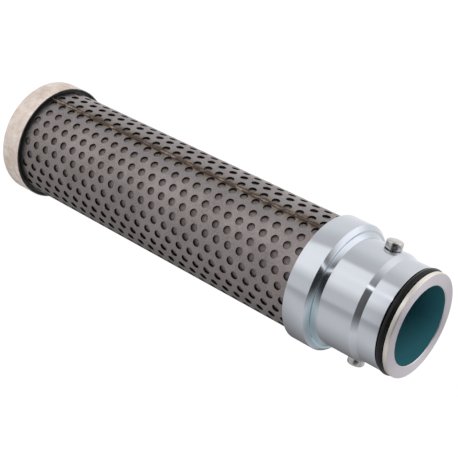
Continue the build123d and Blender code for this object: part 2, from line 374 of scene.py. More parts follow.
def zinc_material(sizes, colours):
    """Bright zinc plate over a turned surface: a bluer tint with painted shade in the collar's root, heaviest on
    the -X side, and a painted pale highlight on the front land.
    """
    material, tree, shader = new_material("bright_zinc_plate")
    marks = shared(tree, "Smudge and Grain", Smudge_Scale=45.0, Grain_Scale=700.0)
    rings = shared(tree, "Turning Rings", Ring_Scale=2600.0)
    place = tree.add("ShaderNodeTexCoord").outputs["Object"]
    parts = tree.add("ShaderNodeSeparateXYZ", {"Vector": place})
    height = parts.outputs["Z"]
    base = tree.mix(tree.math("MULTIPLY", marks.outputs["Smudge"], 0.35), rgba(colours.zinc),
                    (0.69, 0.71, 0.73, 1.0))
    collar_front = COLLAR_BACK + sizes.collar_length
    # Root band: the plate's blue tint, darkened as painted shade and heaviest on the -X side.
    from_root = tree.math("ABSOLUTE", tree.math("SUBTRACT", height, collar_front + 0.2 * MM))
    blue = tree.spread(from_root, 2.6 * MM, 0.8 * MM)
    root_shade_side = tree.spread(parts.outputs["X"], 16.0 * MM, -6.0 * MM, 0.12, 0.75)
    base = tree.mix(tree.math("MULTIPLY", blue, root_shade_side), base, (0.36, 0.50, 0.58, 1.0))
    # Front land: a painted pale cream highlight, also made rougher.
    land = tree.spread(height, SEAL_TOP + 0.1 * MM, SEAL_TOP + 0.3 * MM)
    base = tree.mix(land, base, (0.88, 0.83, 0.765, 1.0))
    face = tree.spread(height, SPIGOT_END - 0.25 * MM, SPIGOT_END - 0.05 * MM)
    base = tree.mix(face, base, (0.655, 0.62, 0.665, 1.0))
    tree.feed(shader.inputs["Base Color"], base)
    gloss = tree.spread(marks.outputs["Smudge"], 0.0, 1.0, 0.15, 0.2)
    land_roughness = tree.math("MULTIPLY", land, 0.25)
    tree.feed(shader.inputs["Roughness"], tree.math("ADD", gloss, land_roughness))
    shader.inputs["Metallic"].default_value = 1.0
    shader.inputs["Anisotropic"].default_value = 0.9
    shader.inputs["Anisotropic Rotation"].default_value = 0.25
    lay = tree.add("ShaderNodeTangent", direction_type="RADIAL", axis="Z")
    tree.feed(shader.inputs["Tangent"], lay.outputs["Tangent"])
    tree.feed(shader.inputs["Normal"], bump(tree, rings.outputs["Height"], 0.05, 0.02 * MM))
    return material


def bore_material(colours):
    """Zinc plate with a teal tint, as it shows deep inside the bore."""
    material, tree, shader = new_material("teal_bore_plate")
    marks = shared(tree, "Smudge and Grain", Smudge_Scale=50.0, Grain_Scale=900.0)
    rings = shared(tree, "Turning Rings", Ring_Scale=1800.0)
    base = tree.mix(tree.math("MULTIPLY", marks.outputs["Smudge"], 0.4), rgba(colours.bore),
                    (0.11, 0.37, 0.42, 1.0))
    tree.feed(shader.inputs["Base Color"], base)
    shader.inputs["Roughness"].default_value = 0.38
    shader.inputs["Metallic"].default_value = 0.8
    tree.feed(shader.inputs["Normal"], bump(tree, rings.outputs["Height"], 0.1, 0.02 * MM))
    return material


def rubber_material(colours):
    """Smooth black nitrile with a soft gloss."""
    material, tree, shader = new_material("nitrile_rubber")
    marks = shared(tree, "Smudge and Grain", Smudge_Scale=120.0, Grain_Scale=1800.0)
    base = tree.mix(tree.math("MULTIPLY", marks.outputs["Smudge"], 0.5), rgba(colours.rubber),
                    (0.008, 0.0075, 0.0075, 1.0))
    tree.feed(shader.inputs["Base Color"], base)
    tree.feed(shader.inputs["Roughness"], tree.spread(marks.outputs["Grain"], 0.0, 1.0, 0.2, 0.3))
    shader.inputs["Specular IOR Level"].default_value = 0.2
    tree.feed(shader.inputs["Normal"], bump(tree, marks.outputs["Grain"], 0.1, 0.02 * MM))
    return material


def resin_material(colours):
    """Dark cast resin with a rough, slightly uneven surface."""
    material, tree, shader = new_material("potting_resin")
    marks = shared(tree, "Smudge and Grain", Smudge_Scale=220.0, Grain_Scale=1500.0)
    base = tree.mix(marks.outputs["Smudge"], rgba(colours.resin), (0.055, 0.057, 0.055, 1.0))
    tree.feed(shader.inputs["Base Color"], base)
    shader.inputs["Roughness"].default_value = 0.45
    tree.feed(shader.inputs["Normal"], bump(tree, marks.outputs["Smudge"], 0.5, 0.3 * MM))
    return material


def weld_material(colours):
    """Weld metal with brown and straw heat tint."""
    material, tree, shader = new_material("heat_tinted_weld")
    marks = shared(tree, "Smudge and Grain", Smudge_Scale=130.0, Grain_Scale=1200.0)
    bright = tree.spread(marks.outputs["Smudge"], 0.45, 0.95)
    base = tree.mix(bright, rgba(colours.weld), (0.40, 0.31, 0.28, 1.0))
    base = tree.mix(tree.math("MULTIPLY", marks.outputs["Grain"], 0.6), base, (0.04, 0.026, 0.022, 1.0))
    tree.feed(shader.inputs["Base Color"], base)
    shader.inputs["Roughness"].default_value = 0.42
    shader.inputs["Metallic"].default_value = 0.8
    tree.feed(shader.inputs["Normal"], bump(tree, marks.outputs["Grain"], 0.5, 0.08 * MM))
    return material


def pin_material():
    """Bright plated pin steel."""
    material, tree, shader = new_material("bright_pin_steel")
    marks = shared(tree, "Smudge and Grain", Smudge_Scale=200.0, Grain_Scale=1500.0)
    base = tree.mix(tree.math("MULTIPLY", marks.outputs["Smudge"], 0.5), (0.62, 0.61, 0.60, 1.0),
                    (0.42, 0.40, 0.39, 1.0))
    tree.feed(shader.inputs["Base Color"], base)
    shader.inputs["Roughness"].default_value = 0.2
    shader.inputs["Metallic"].default_value = 1.0
    tree.feed(shader.inputs["Normal"], bump(tree, marks.outputs["Grain"], 0.1, 0.03 * MM))
    return material


def media_material(colours):
    """Off-white glass fibre with a soft fibrous surface."""
    material, tree, shader = new_material("glass_fibre_media")
    marks = shared(tree, "Smudge and Grain", Smudge_Scale=300.0, Grain_Scale=3000.0)
    base = tree.mix(tree.math("MULTIPLY", marks.outputs["Grain"], 0.5), rgba(colours.media),
                    (0.55, 0.53, 0.47, 1.0))
    tree.feed(shader.inputs["Base Color"], base)
    shader.inputs["Roughness"].default_value = 0.9
    tree.feed(shader.inputs["Normal"], bump(tree, marks.outputs["Grain"], 0.4, 0.1 * MM))
    return material


def core_material():
    """Zinc plated sheet of the core tube and the pleat clip."""
    material, tree, shader = new_material("plated_core_sheet")
    marks = shared(tree, "Smudge and Grain", Smudge_Scale=120.0, Grain_Scale=1600.0)
    base = tree.mix(tree.math("MULTIPLY", marks.outputs["Smudge"], 0.5), (0.42, 0.45, 0.45, 1.0),
                    (0.30, 0.32, 0.32, 1.0))
    tree.feed(shader.inputs["Base Color"], base)
    shader.inputs["Roughness"].default_value = 0.38
    shader.inputs["Metallic"].default_value = 0.9
    tree.feed(shader.inputs["Normal"], bump(tree, marks.outputs["Grain"], 0.15, 0.03 * MM))
    return material


def new_piece(name, mesh, materials, slot, *nodes):
    """Link a finished mesh as a piece that rides on the element and replaces its solid."""
    piece = bpy.data.objects.new(name, mesh)
    bpy.context.scene.collection.objects.link(piece)
    for material in materials:
        if material.name not in [m.name for m in mesh.materials if m]:
            mesh.materials.append(material)
    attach(piece, "root")
    if nodes:
        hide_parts(*nodes)
    return piece


def arc(centre, radius, start, stop, steps=6):
    """Points (radius, height) on an arc of a half section, angles in degrees."""
    points = []
    for step in range(steps + 1):
        angle = math.radians(start + (stop - start) * step / steps)
        points.append((centre[0] + radius * math.cos(angle), centre[1] + radius * math.sin(angle)))
    return points


def turned_mesh(name, half_section, segments=256, closed=True, finish=None, sharp=35.0):
    """Turn a half section, a list of (radius, height) points, about the Z axis.

    finish gives each stretch of the section its material index.
    """
    form = bmesh.new()
    rings = []
    for radius, height in half_section:
        if radius < 1e-7:
            rings.append([form.verts.new((0, 0, height))])
            continue
        ring = []
        for step in range(segments):
            angle = 2 * math.pi * step / segments
            ring.append(form.verts.new((radius * math.cos(angle), radius * math.sin(angle), height)))
        rings.append(ring)
    stretches = list(zip(rings, rings[1:]))
    if closed:
        stretches.append((rings[-1], rings[0]))
    for place, (low, high) in enumerate(stretches):
        if len(low) == 1 and len(high) == 1:
            continue
        for step in range(segments):
            after = (step + 1) % segments
            corners = [low[step % len(low)], low[after % len(low)], high[after % len(high)],
                       high[step % len(high)]]
            face = form.faces.new(list(dict.fromkeys(corners)))
            face.smooth = True
            if finish:
                face.material_index = finish[place]
    bmesh.ops.recalc_face_normals(form, faces=form.faces)
    mesh = bpy.data.meshes.new(name)
    form.to_mesh(mesh)
    form.free()
    mesh.set_sharp_from_angle(angle=math.radians(sharp))
    return mesh


def hole_cell(name, radius, wall, row_angle, pitch, hole_radius):
    """One cell of perforated sheet on +X, curved to the tube, with one punched hole.

    Its border has six equal steps a side, so that cells half a pitch apart still meet.
    The faces of the punched wall carry a mark, by which they get a material of their own.
    """
    steps = 6
    lip = 0.08 * MM
    border = []
    for step in range(steps):
        border.append((1.0, -1.0 + 2.0 * step / steps))
    for step in range(steps):
        border.append((1.0 - 2.0 * step / steps, 1.0))
    for step in range(steps):
        border.append((-1.0, 1.0 - 2.0 * step / steps))
    for step in range(steps):
        border.append((-1.0 + 2.0 * step / steps, -1.0))
    form = bmesh.new()

    def on_tube(across, height, depth):
        angle = across / radius
        inner = radius - depth
        return form.verts.new((inner * math.cos(angle), inner * math.sin(angle), height))

    count = len(border)
    half_width = row_angle * radius / 2
    turn = [math.radians(-45.0 + 360.0 * k / count) for k in range(count)]
    ring_sizes = [(None, 0.0), (hole_radius + lip, 0.0), (hole_radius, lip), (hole_radius, wall), (None, wall)]
    rings = []
    for size, depth in ring_sizes:
        ring = []
        for k in range(count):
            if size is None:
                ring.append(on_tube(border[k][0] * half_width, border[k][1] * pitch / 2, depth))
            else:
                ring.append(on_tube(size * math.cos(turn[k]), size * math.sin(turn[k]), depth))
        rings.append(ring)
    mark = form.faces.layers.bool.new("punched_wall")
    for low, high in zip(rings, rings[1:]):
        for k in range(count):
            after = (k + 1) % count
            face = form.faces.new([low[k], low[after], high[after], high[k]])
            face.smooth = True
            face[mark] = low is rings[2]
    mesh = bpy.data.meshes.new(name)
    form.to_mesh(mesh)
    form.free()
    return mesh


def plain_cell(name, radius, wall, row_angle, length):
    """Curved piece of sheet on +X with no hole, in the same border steps as a punched cell."""
    steps = 6
    form = bmesh.new()
    for depth, flip in ((0.0, False), (wall, True)):
        grid = []
        for row in range(4):
            height = length * (row / 3 - 0.5)
            line = []
            for column in range(steps + 1):
                angle = row_angle * (column / steps - 0.5)
                inner = radius - depth
                line.append(form.verts.new((inner * math.cos(angle), inner * math.sin(angle), height)))
            grid.append(line)
        for low, high in zip(grid, grid[1:]):
            for column in range(steps):
                corners = [low[column], low[column + 1], high[column + 1], high[column]]
                form.faces.new(corners[::-1] if flip else corners).smooth = True
    mesh = bpy.data.meshes.new(name)
    form.to_mesh(mesh)
    form.free()
    return mesh


class GeometryTree(NodeTree):
    """Geometry node tree with named inputs, which a modifier then sets."""

    def __init__(self, name, inputs):
        super().__init__(bpy.data.node_groups.new(name, "GeometryNodeTree"))
        face = self.tree.interface
        face.new_socket("Geometry", in_out="OUTPUT", socket_type="NodeSocketGeometry")
        self.sockets = {}
        for label, kind in inputs:
            self.sockets[label] = face.new_socket(label, in_out="INPUT", socket_type=kind).identifier
        self.given = self.add("NodeGroupInput")
        self.made = self.add("NodeGroupOutput")

    def part(self, label):
        """Geometry of the object that an input names."""
        info = self.add("GeometryNodeObjectInfo", {"Object": self.given.outputs[label]})
        return info.outputs["Geometry"]

    def finish(self, geometry):
        """Realize the instances, weld the borders and set the material."""
        real = self.add("GeometryNodeRealizeInstances", {"Geometry": geometry})
        welded = self.add("GeometryNodeMergeByDistance", {"Geometry": real.outputs[0], "Distance": 0.004 * MM})
        sheet = self.add("GeometryNodeSetMaterial", {"Geometry": welded.outputs[0],
                                                     "Material": self.given.outputs["Sheet"]})
        mark = self.add("GeometryNodeInputNamedAttribute", {"Name": "punched_wall"}, data_type="BOOLEAN")
        walls = self.add("GeometryNodeSetMaterial", {"Geometry": sheet.outputs[0],
                                                     "Selection": mark.outputs["Attribute"],
                                                     "Material": self.given.outputs["Punched Wall"]})
        self.feed(self.made.inputs[0], walls.outputs[0])


def perforation_tree():
    """Cells in staggered rows round the axis, the short rows closed with plain cells."""
    tree = GeometryTree("Staggered Perforation", [
        ("Punched Cell", "NodeSocketObject"), ("Plain Cell", "NodeSocketObject"),
        ("Rows", "NodeSocketInt"), ("Holes per Row", "NodeSocketInt"), ("Pitch", "NodeSocketFloat"),
        ("First Height", "NodeSocketFloat"), ("Seam Azimuth", "NodeSocketFloat"),
        ("Sheet", "NodeSocketMaterial"), ("Punched Wall", "NodeSocketMaterial")])
    given = tree.given.outputs
    step = tree.math("DIVIDE", 2 * math.pi, given["Rows"])
    index = tree.add("GeometryNodeInputIndex").outputs[0]

    def rows_of(count, shift, cell, keep):
        line = tree.add("GeometryNodeMeshLine", {"Count": tree.math("MULTIPLY", given["Rows"], count)})
        row = tree.math("FLOOR", tree.math("DIVIDE", tree.math("ADD", index, 0.5), count))
        place = tree.math("SUBTRACT", index, tree.math("MULTIPLY", row, count))
        short = tree.math("FLOORED_MODULO", row, 2.0)
        azimuth = tree.math("MULTIPLY_ADD", tree.math("ADD", row, 0.5), step, given["Seam Azimuth"])
        height = tree.math("MULTIPLY_ADD", shift(place, short), given["Pitch"], given["First Height"])
        spot = tree.add("ShaderNodeCombineXYZ", {"Z": height})
        turn = tree.add("ShaderNodeCombineXYZ", {"Z": azimuth})
        placed = tree.add("GeometryNodeSetPosition", {"Geometry": line.outputs[0], "Position": spot.outputs[0]})
        return tree.add("GeometryNodeInstanceOnPoints", {
            "Points": placed.outputs[0], "Selection": keep(place, short), "Instance": tree.part(cell),
            "Rotation": turn.outputs[0]}).outputs[0]

    def punched_shift(place, short):
        return tree.math("MULTIPLY_ADD", short, 0.5, place)

    def punched_keep(place, short):
        last = tree.math("SUBTRACT", given["Holes per Row"], 1.5)
        return tree.math("LESS_THAN", tree.math("MULTIPLY", place, short), last)

    def plain_shift(place, short):
        reach = tree.math("SUBTRACT", given["Holes per Row"], 0.5)
        return tree.math("MULTIPLY_ADD", place, reach, -0.25)

    def plain_keep(place, short):
        return short

    punched = rows_of(given["Holes per Row"], punched_shift, "Punched Cell", punched_keep)
    plain = rows_of(2.0, plain_shift, "Plain Cell", plain_keep)
    joined = tree.add("GeometryNodeJoinGeometry")
    tree.tree.links.new(punched, joined.inputs[0])
    tree.tree.links.new(plain, joined.inputs[0])
    tree.finish(joined.outputs[0])
    return tree


def run_tree(tree, name, values):
    """Evaluate a geometry tree with its inputs set, and return the plain mesh."""
    holder = bpy.data.objects.new(name, bpy.data.meshes.new(name + "_start"))
    bpy.context.scene.collection.objects.link(holder)
    modifier = holder.modifiers.new("Pattern", "NODES")
    modifier.node_group = tree.tree
    for label, value in values.items():
        modifier[tree.sockets[label]] = value
    graph = bpy.context.evaluated_depsgraph_get()
    mesh = bpy.data.meshes.new_from_object(holder.evaluated_get(graph))
    if mesh.materials and mesh.materials[0] is None:
        mesh.materials.pop(index=0)
    holder.modifiers.remove(modifier)
    bpy.data.objects.remove(holder)
    mesh.name = name
    return mesh


def helper_object(name, mesh):
    """Object that a geometry tree reads and that is removed afterwards."""
    helper = bpy.data.objects.new(name, mesh)
    bpy.context.scene.collection.objects.link(helper)
    return helper


def round_normals(mesh, radius, wall):
    """Give the two curved faces of a tube the normals of true cylinders."""
    normals = [(0.0, 0.0, 0.0)] * len(mesh.loops)
    near = 0.02 * MM
    for face in mesh.polygons:
        radii = [Vector(mesh.vertices[v].co[:2]).length for v in face.vertices]
        outer = all(abs(r - radius) < near for r in radii)
        inner = all(abs(r - radius + wall) < near for r in radii)
        if outer or inner:
            sign = 1.0 if outer else -1.0
            for loop in face.loop_indices:
                x, y, _ = mesh.vertices[mesh.loops[loop].vertex_index].co
                normals[loop] = Vector((sign * x, sign * y, 0.0)).normalized()
    mesh.normals_split_custom_set(normals)


def end_bands(form, radius, wall, rows, seam, spans):
    """Add the plain ends of the sheet: each runs from the pattern's edge to the tube's end."""
    count = rows * 6
    for edge, end in spans:
        rings = []
        for depth, height in ((0.0, edge), (0.0, end), (wall, end), (wall, edge)):
            ring = []
            for step in range(count):
                angle = seam + 2 * math.pi * step / count
                inner = radius - depth
                ring.append(form.verts.new((inner * math.cos(angle), inner * math.sin(angle), height)))
            rings.append(ring)
        for first, second in zip(rings, rings[1:]):
            for step in range(count):
                after = (step + 1) % count
                form.faces.new([first[step], first[after], second[after], second[step]]).smooth = True


def perforated_tube(name, radius, wall, rows, per_row, pitch, hole_radius, first, bottom, top, seam, materials):
    """Rolled perforated sheet, from the pattern's cells and its two plain ends."""
    row_angle = 2 * math.pi / rows
    punched = helper_object("punched_cell", hole_cell("punched_cell", radius, wall, row_angle, pitch, hole_radius))
    plain = helper_object("plain_cell", plain_cell("plain_cell", radius, wall, row_angle, pitch / 2))
    mesh = run_tree(perforation_tree(), name, {
        "Punched Cell": punched, "Plain Cell": plain, "Rows": rows, "Holes per Row": per_row,
        "Pitch": pitch, "First Height": first, "Seam Azimuth": seam,
        "Sheet": materials[0], "Punched Wall": materials[1]})
    bpy.data.objects.remove(punched)
    bpy.data.objects.remove(plain)
    form = bmesh.new()
    form.from_mesh(mesh)
    end_bands(form, radius, wall, rows, seam,
              [(first - pitch / 2, bottom), (first + (per_row - 0.5) * pitch, top)])
    bmesh.ops.remove_doubles(form, verts=form.verts, dist=0.004 * MM)
    bmesh.ops.recalc_face_normals(form, faces=form.faces)
    form.to_mesh(mesh)
    form.free()
    mesh.attributes.remove(mesh.attributes["punched_wall"])
    round_normals(mesh, radius, wall)
    return mesh


class FILTER_OT_tube(bpy.types.Operator):
    """Make the outer perforated tube with its staggered round holes"""
    bl_idname = "filter.tube"
    bl_label = "Perforated Tube"

    def execute(self, context):
        sizes = context.scene.filter_sizes
        materials = [tube_material(sizes, context.scene.filter_colours), punched_wall_shade_material()]
        mesh = perforated_tube(
            "tube_sheet", TUBE_RADIUS, sizes.wall, sizes.hole_rows, sizes.holes_per_row, sizes.hole_pitch,
            sizes.hole_diameter / 2, CAP_HEIGHT + sizes.first_hole, TUBE_BOTTOM, TUBE_TOP,
            sizes.seam_azimuth, materials)
        new_piece("tube_sheet", mesh, materials, "tube_steel", "perforated_tube")
        return {"FINISHED"}


class FILTER_OT_core(bpy.types.Operator):
    """Make the perforated core tube and dress the pleats inside"""
    bl_idname = "filter.core"
    bl_label = "Core and Pleats"

    def execute(self, context):
        sizes = context.scene.filter_sizes
        colours = context.scene.filter_colours
        material = core_material()
        mesh = perforated_tube(
            "core_sheet", CORE_RADIUS, sizes.wall, sizes.core_hole_rows, sizes.core_holes_per_row,
            sizes.core_hole_pitch, sizes.core_hole_diameter / 2, TUBE_BOTTOM + 12.0 * MM, TUBE_BOTTOM, CORE_TOP,
            sizes.seam_azimuth, [material, material])
        new_piece("core_sheet", mesh, [material], "core_steel", "core_tube")
        dress("pleated_media", media_material(colours))
        dress("pleat_clip", material)
        return {"FINISHED"}


def dress(node, material):
    """Give a solid that stays as it is its material."""
    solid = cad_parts[node]
    solid.data.materials.clear()
    solid.data.materials.append(material)


def bead_mesh(name, azimuth, radius, root, width, crown, bottom, top, ripple, wander):
    """Weld bead along the seam: a crowned strip with ripples that wander a little from side to side."""
    across_steps = 8
    step_length = 0.35 * MM
    count = int((top - bottom) / step_length)
    form = bmesh.new()
    rows = []
    for step in range(count + 1):
        height = bottom + (top - bottom) * step / count
        drift = wander * (noise.noise(Vector((height * 260, 3.1, 0))) + 0.6 * noise.noise(
            Vector((height * 900, 7.7, 0))))
        swell = 1.0 + 0.25 * noise.noise(Vector((height * 500, 1.3, 0)))
        wave = ripple * (0.5 + 0.5 * math.sin(2 * math.pi * height / (1.5 * MM)))
        row = []
        for column in range(across_steps + 1):
            share = column / across_steps * 2 - 1
            side = share * width / 2 * swell + drift
            rise = (crown + wave) * (1 - share * share) ** 0.7
            rise += 0.25 * crown * noise.noise(Vector((height * 1500, share * 3, 5.5)))
            if abs(share) == 1:
                rise = 0
            angle = azimuth + side / radius
            row.append(form.verts.new(((radius + rise) * math.cos(angle),
                                       (radius + rise) * math.sin(angle), height)))
        for column in (across_steps, 0):
            share = column / across_steps * 2 - 1
            angle = azimuth + share * 0.3 * width / radius
            row.append(form.verts.new((root * math.cos(angle), root * math.sin(angle), height)))
        rows.append(row)
    for low, high in zip(rows, rows[1:]):
        for column in range(len(low)):
            after = (column + 1) % len(low)
            form.faces.new([low[column], low[after], high[after], high[column]]).smooth = True
    form.faces.new(rows[0][::-1])
    form.faces.new(rows[-1])
    bmesh.ops.recalc_face_normals(form, faces=form.faces)
    mesh = bpy.data.meshes.new(name)
    form.to_mesh(mesh)
    form.free()
    mesh.set_sharp_from_angle(angle=math.radians(60))
    return mesh


class FILTER_OT_welds(bpy.types.Operator):
    """Make the weld beads of the outer tube and the core"""
    bl_idname = "filter.welds"
    bl_label = "Weld Beads"

    def execute(self, context):
        sizes = context.scene.filter_sizes
        material = weld_material(context.scene.filter_colours)
        outer = bead_mesh("tube_bead", sizes.seam_azimuth, TUBE_RADIUS, TUBE_RADIUS - sizes.wall,
                          sizes.weld_width, 0.22 * MM, TUBE_BOTTOM, TUBE_TOP, 0.12 * MM, 0.35 * MM)
        new_piece("tube_bead", outer, [material], "weld_bead", "tube_seam_weld")
        dress("core_seam_weld", material)
        return {"FINISHED"}


class FILTER_OT_sleeve(bpy.types.Operator):
    """Make the woven mesh sleeve behind the holes"""
    bl_idname = "filter.sleeve"
    bl_label = "Mesh Sleeve"

    def execute(self, context):
        outer = SLEEVE_RADIUS - 0.3 * MM
        inner = SLEEVE_RADIUS - 0.4 * MM
        mesh = turned_mesh("wire_cloth_sleeve", [(inner, TUBE_BOTTOM), (outer, TUBE_BOTTOM),
                                                 (outer, TUBE_TOP), (inner, TUBE_TOP)])
        material = mesh_material(context.scene.filter_colours)
        new_piece("wire_cloth_sleeve", mesh, [material], "woven_mesh", "mesh_sleeve")
        return {"FINISHED"}


class FILTER_OT_cap(bpy.types.Operator):
    """Make the closed end cap and the resin in both ends"""
    bl_idname = "filter.cap"
    bl_label = "Closed End Cap"

    def execute(self, context):
        sizes = context.scene.filter_sizes
        colours = context.scene.filter_colours
        corner = sizes.cap_corner
        edge = 0.2 * MM
        inside = CAP_RADIUS - sizes.cap_wall
        section = [(0, 0), (CAP_RADIUS - corner - 2 * MM, 0)]
        section += arc((CAP_RADIUS - corner, corner), corner, -90, 0, 8)
        section += arc((CAP_RADIUS - edge, CAP_HEIGHT - edge), edge, 0, 90, 3)
        rim = len(section) - 1
        section += arc((inside + edge, CAP_HEIGHT - edge), edge, 90, 180, 3)
        section += [(inside, sizes.cap_floor), (0, sizes.cap_floor)]
        resin = resin_material(colours)
        # From the top of the rim inwards the shell takes the dark resin: resin smeared over the rim, with painted
        # shade in the gap round the tube.
        finish = [0] * rim + [1] * (len(section) - rim)
        cap = turned_mesh("end_cap_shell", section, finish=finish)
        new_piece("end_cap_shell", cap, [cap_material(colours), resin], "nickel_cap", "closed_end_cap")
        section = [(0, sizes.cap_floor), (inside, sizes.cap_floor), (inside, RESIN_TOP),
                   (TUBE_RADIUS, RESIN_TOP), (TUBE_RADIUS, TUBE_BOTTOM), (0, TUBE_BOTTOM)]
        mesh = turned_mesh("cap_resin", section)
        new_piece("cap_resin", mesh, [resin], "potting_resin", "closed_end_resin")
        dress("open_end_resin", resin)
        return {"FINISHED"}


class FILTER_OT_fitting(bpy.types.Operator):
    """Make the turned end fitting with its fillets, chamfers and bore"""
    bl_idname = "filter.fitting"
    bl_label = "End Fitting"

    def execute(self, context):
        s = context.scene.filter_sizes
        colours = context.scene.filter_colours
        cup = COLLAR_RADIUS - s.collar_wall
        front = COLLAR_BACK + s.collar_length
        web = front - s.collar_web
        neck_end = front + s.neck_length
        spigot_start = neck_end + s.cone_length
        groove_front = SPIGOT_END - s.groove_land
        groove_back = groove_front - s.groove_width
        groove = s.spigot_radius - s.groove_depth
        counterbore = CORE_RADIUS + 0.2 * MM
        edge = 0.25 * MM
        outside = [(cup, web)]
        outside += arc((cup + edge, COLLAR_BACK + edge), edge, 180, 270, 3)
        outside += arc((COLLAR_RADIUS - edge, COLLAR_BACK + edge), edge, 270, 360, 3)
        chamfer_start = front - s.collar_chamfer
        outside += arc((COLLAR_RADIUS - edge, chamfer_start - edge), edge, 0, 45, 3)
        outside += arc((COLLAR_RADIUS - s.collar_chamfer - edge, front - edge), edge, 45, 90, 3)
        outside += arc((s.neck_radius + s.neck_root + edge, front + edge), edge, 270, 225, 3)
        outside += arc((s.neck_radius + edge, front + s.neck_root + edge), edge, 225, 180, 3)
        outside += [(s.neck_radius, neck_end - edge), (s.neck_radius - edge * 0.15, neck_end),
                    (s.spigot_radius + edge * 0.15, spigot_start), (s.spigot_radius, spigot_start + edge)]
        outside += arc((s.spigot_radius - edge, groove_back - edge), edge, 0, 90, 3)
        outside += [(groove, groove_back), (groove, groove_front)]
        outside += arc((s.spigot_radius - edge, groove_front + edge), edge, -90, 0, 3)
        outside += arc((s.spigot_radius - s.spigot_edge, SPIGOT_END - s.spigot_edge), s.spigot_edge, 0, 90, 5)
        outside += [(s.bore_radius + s.bore_chamfer, SPIGOT_END)]
        inside = [(s.bore_radius, SPIGOT_END - s.bore_chamfer), (s.bore_radius, CORE_TOP),
                  (counterbore, CORE_TOP), (counterbore, web)]
        section = outside + inside
        finish = [0] * len(outside) + [1] * len(inside)
        mesh = turned_mesh("turned_fitting", section, segments=384, finish=finish)
        materials = [zinc_material(s, colours), bore_material(colours)]
        new_piece("turned_fitting", mesh, materials, "zinc_fitting", "end_fitting")
        return {"FINISHED"}


class FILTER_OT_seal(bpy.types.Operator):
    """Make the O-ring"""
    bl_idname = "filter.seal"
    bl_label = "O-ring"

    def execute(self, context):
        radius = context.scene.filter_sizes.seal_section / 2
        centre = (SEAL_RADIUS - radius, (SEAL_BOTTOM + SEAL_TOP) / 2)
        mesh = turned_mesh("o_ring", arc(centre, radius, 0, 360, 40)[:-1], sharp=80)
        material = rubber_material(context.scene.filter_colours)
        new_piece("o_ring", mesh, [material], "seal_rubber", "spigot_o_ring")
        return {"FINISHED"}


class FILTER_OT_pins(bpy.types.Operator):
    """Make the two bayonet pins"""
    bl_idname = "filter.pins"
    bl_label = "Bayonet Pins"

    def execute(self, context):
        s = context.scene.filter_sizes
        material = pin_material()
        round_edge = 0.15 * MM
        under = s.neck_radius + s.pin_gap
        section = [(0, PIN_SEAT), (s.pin_shank, PIN_SEAT), (s.pin_shank, under)]
        section += arc((PIN_RADIUS - round_edge, under + round_edge), round_edge, -90, 0, 3)
        section += arc((PIN_RADIUS - s.pin_edge, PIN_TIP - s.pin_edge), s.pin_edge, 0, 90, 6) + [(0, PIN_TIP)]
        for letter, azimuth in (("a", 0.0), ("b", math.pi)):
            mesh = turned_mesh(f"pin_{letter}", section, segments=96, closed=False)
            lie_down = Matrix.Rotation(math.pi / 2, 4, "Y")
            mesh.transform(Matrix.Rotation(azimuth, 4, "Z") @ Matrix.Translation((0, 0, PIN_HEIGHT)) @ lie_down)
            new_piece(f"pin_{letter}", mesh, [material], "pin_steel", f"bayonet_pin_{letter}")
        return {"FINISHED"}


def camera_axes():
    """The camera's right, up and back directions, solved from the circles in the photograph."""
    back = Vector((0.283773, 0.787058, 0.547734)).normalized()
    right = Vector((0.262955, -0.613192, 0.744883))
    right = (right - right.dot(back) * back).normalized()
    return right, back.cross(right), back


# Tent panels: brightness at azimuths in degrees, above and below the horizon
UPPER_PANELS = ((-178, 0.45), (-110, 0.78), (-62, 0.95), (-42, 1.4), (-12, 1.25), (4, 0.95), (30, 0.25),
                (44, 0.2), (46, 1.6), (51, 1.6), (53, 0.03), (104, 0.03), (118, 0.2), (145, 0.78), (178, 0.45))
LOWER_PANELS = ((-178, 1.0), (-100, 1.0), (-20, 0.88), (4, 0.68), (20, 0.66), (27, 1.15), (68, 1.15),
                (86, 0.72), (98, 0.74), (115, 0.72), (128, 1.0), (178, 1.0))
# Azimuth and elevation of the tent's open side: below the horizon its cloth darkens away from there
TENT_OPENING = (70.2, 33.2)


def direction(azimuth, elevation):
    """Unit vector towards an azimuth and an elevation in degrees."""
    a, e = math.radians(azimuth), math.radians(elevation)
    return Vector((math.cos(a) * math.cos(e), math.sin(a) * math.cos(e), math.sin(e)))


def soft_lamp(name, azimuth, elevation, distance, size, power, colour, target):
    """Area lamp that looks at the target from a direction in degrees."""
    away = direction(azimuth, elevation)
    data = bpy.data.lights.new(name, "AREA")
    data.shape = "RECTANGLE"
    data.size, data.size_y = size
    data.energy = power
    data.color = colour
    lamp = bpy.data.objects.new(name, data)
    lamp.location = target + away * distance
    lamp.rotation_mode = "QUATERNION"
    lamp.rotation_quaternion = away.to_track_quat("Z", "Y")
    bpy.context.scene.collection.objects.link(lamp)
    return lamp


